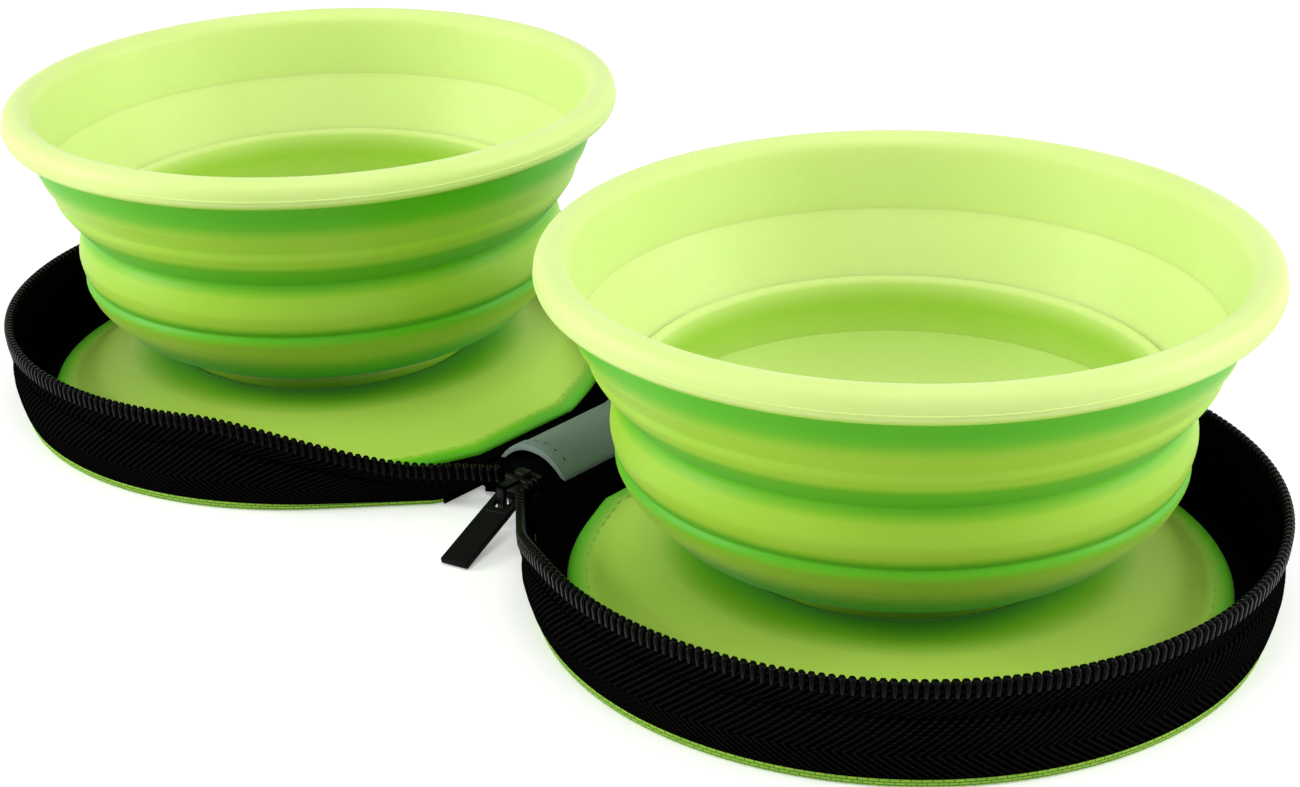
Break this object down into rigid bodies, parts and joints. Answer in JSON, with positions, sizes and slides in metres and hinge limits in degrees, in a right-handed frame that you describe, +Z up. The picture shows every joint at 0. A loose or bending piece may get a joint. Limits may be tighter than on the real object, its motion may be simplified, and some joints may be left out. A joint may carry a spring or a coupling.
{
  "type": "double travel bowl",
  "caption": "Zip-round fabric case that opens flat on a taped hinge, with a collapsible silicone bowl standing in each half.",
  "frame": {"origin": "on the ground plane under the middle of the hinge, with the case lying open", "axes": "+Z up, +Y along the hinge away from the zip slider, +X across the hinge towards the side of the hinge strip where the slider hangs"},
  "size_m": [0.2916, 0.1384, 0.0681],
  "materials": {
    "silicone": "satin lime-green silicone",
    "liner": "smooth coated lime-green fabric",
    "base_weave": "lime-green woven fabric",
    "wall_weave": "black herringbone tape",
    "lining": "plain black lining",
    "hinge_weave": "black woven fabric",
    "gusset": "black woven fabric",
    "spine_tape": "grey ribbed tape",
    "zip_coil": "black nylon coil on tape",
    "foam": "soft white foam",
    "board": "plain stiffening board",
    "slider_metal": "black painted zinc",
    "pull_rubber": "matt black rubber"
  },
  "bodies": {
    "right_half": {"right_base_panel": "base_weave", "right_base_board": "board", "right_foam_pad": "foam", "right_liner": "liner", "right_side_wall": "wall_weave", "right_wall_lining": "lining", "right_zip_coil": "zip_coil", "right_hinge_panel": "hinge_weave", "right_bowl_base": "silicone", "right_bowl_lower_fold": "silicone"},
    "right_middle": {"right_bowl_middle_band": "silicone", "right_bowl_upper_fold": "silicone"},
    "right_rim": {"right_bowl_rim": "silicone"},
    "left_half": {"left_base_panel": "base_weave", "left_base_board": "board", "left_foam_pad": "foam", "left_liner": "liner", "left_side_wall": "wall_weave", "left_wall_lining": "lining", "left_zip_coil": "zip_coil", "left_hinge_panel": "hinge_weave", "left_bowl_base": "silicone", "left_bowl_lower_fold": "silicone", "left_zip_end": "zip_coil"},
    "left_middle": {"left_bowl_middle_band": "silicone", "left_bowl_upper_fold": "silicone"},
    "left_rim": {"left_bowl_rim": "silicone"},
    "spine": {"spine_tape": "spine_tape", "spine_gusset_front": "gusset", "spine_gusset_rear": "gusset", "zip_slider": "slider_metal"},
    "pull": {"pull_link": "slider_metal", "pull_tab": "pull_rubber"}
  },
  "joints": [
    {"name": "right_fold", "type": "hinge", "parent": "right_half", "child": "spine", "pos_m": [0.009, 0, 0.0125], "axis": [0, 1, 0], "range_deg": [0, 90]},
    {"name": "left_fold", "type": "hinge", "parent": "spine", "child": "left_half", "pos_m": [-0.009, 0, 0.0125], "axis": [0, 1, 0], "range_deg": [0, 90]},
    {"name": "right_middle_drop", "type": "slide", "parent": "right_half", "child": "right_middle", "axis": [0, 0, -1], "range_m": [0, 0.0212], "deforming": ["right_bowl_lower_fold"]},
    {"name": "right_rim_drop", "type": "slide", "parent": "right_middle", "child": "right_rim", "axis": [0, 0, -1], "range_m": [0, 0.0261], "deforming": ["right_bowl_upper_fold"]},
    {"name": "left_middle_drop", "type": "slide", "parent": "left_half", "child": "left_middle", "axis": [0, 0, -1], "range_m": [0, 0.0212], "deforming": ["left_bowl_lower_fold"]},
    {"name": "left_rim_drop", "type": "slide", "parent": "left_middle", "child": "left_rim", "axis": [0, 0, -1], "range_m": [0, 0.0261], "deforming": ["left_bowl_upper_fold"]},
    {"name": "pull_swing", "type": "hinge", "parent": "spine", "child": "pull", "pos_m": [0.0044, -0.027, 0.0062], "axis": [-0.9801, -0.1987, 0], "range_deg": [-60, 60]}
  ],
  "couplings": [
    {"joint": "right_middle_drop", "follows": "right_fold", "m_per_rad": 0.013496},
    {"joint": "right_rim_drop", "follows": "right_fold", "m_per_rad": 0.016615},
    {"joint": "left_middle_drop", "follows": "left_fold", "m_per_rad": 0.013496},
    {"joint": "left_rim_drop", "follows": "left_fold", "m_per_rad": 0.016615}
  ]
}
